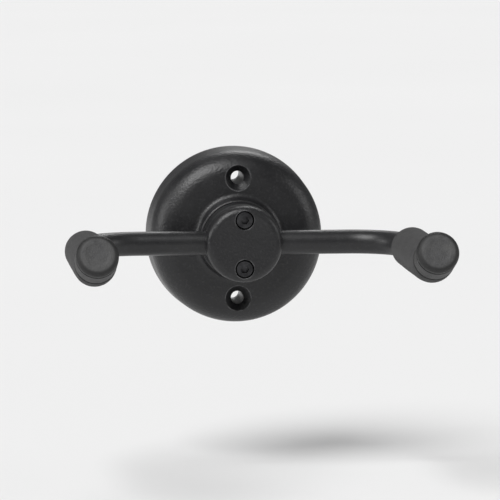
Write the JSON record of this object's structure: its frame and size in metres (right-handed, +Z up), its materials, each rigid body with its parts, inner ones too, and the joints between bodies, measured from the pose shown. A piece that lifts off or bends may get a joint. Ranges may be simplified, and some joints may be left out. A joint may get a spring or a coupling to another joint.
{
  "type": "wall trumpet hanger",
  "caption": "Wall-hung trumpet hanger: a bent rod cradle with padded, upturned arms turns on a round wall base and stays at any angle by friction.",
  "frame": {"origin": "on the wall face, where the cradle's pivot axis meets the wall", "axes": "+Z up, +X to the right for someone facing the wall, +Y into the wall along the pivot axis; the cradle stands out towards -Y"},
  "size_m": [0.143, 0.1398, 0.07],
  "materials": {
    "powder_coat": "fine-textured matte black powder coat",
    "foam": "matte charcoal closed-cell foam rubber",
    "cap_rubber": "matte charcoal moulded rubber",
    "pad_rubber": "matte black sheet rubber",
    "zinc_steel": "bright zinc plate",
    "stainless": "satin stainless steel",
    "black_oxide": "black oxide, slightly oily",
    "spring_steel": "phosphated spring steel",
    "acetal": "natural acetal, satin",
    "fibre": "pressed friction fibre, dull",
    "nylon": "blue nylon, satin"
  },
  "bodies": {
    "wall_base": {"base_housing": "powder_coat", "wall_pad": "pad_rubber", "back_plate": "zinc_steel", "back_plate_screws": "zinc_steel", "front_bushing": "acetal", "rear_bushing": "acetal", "friction_disc": "fibre"},
    "cradle": {"pivot_stem": "powder_coat", "pressure_washer": "zinc_steel", "spring_washers": "spring_steel", "lock_nut": "zinc_steel", "nut_insert": "nylon", "rod_locating_pin": "stainless", "clamp_cap": "powder_coat", "clamp_screws": "black_oxide", "cradle_rod": "powder_coat", "arm_sleeve_left": "foam", "arm_sleeve_right": "foam", "tip_cap_left": "cap_rubber", "tip_cap_right": "cap_rubber"}
  },
  "joints": [
    {"name": "cradle_pivot", "type": "hinge", "parent": "wall_base", "child": "cradle", "pos_m": [0, -0.03, 0], "axis": [0, 1, 0], "continuous": true}
  ]
}
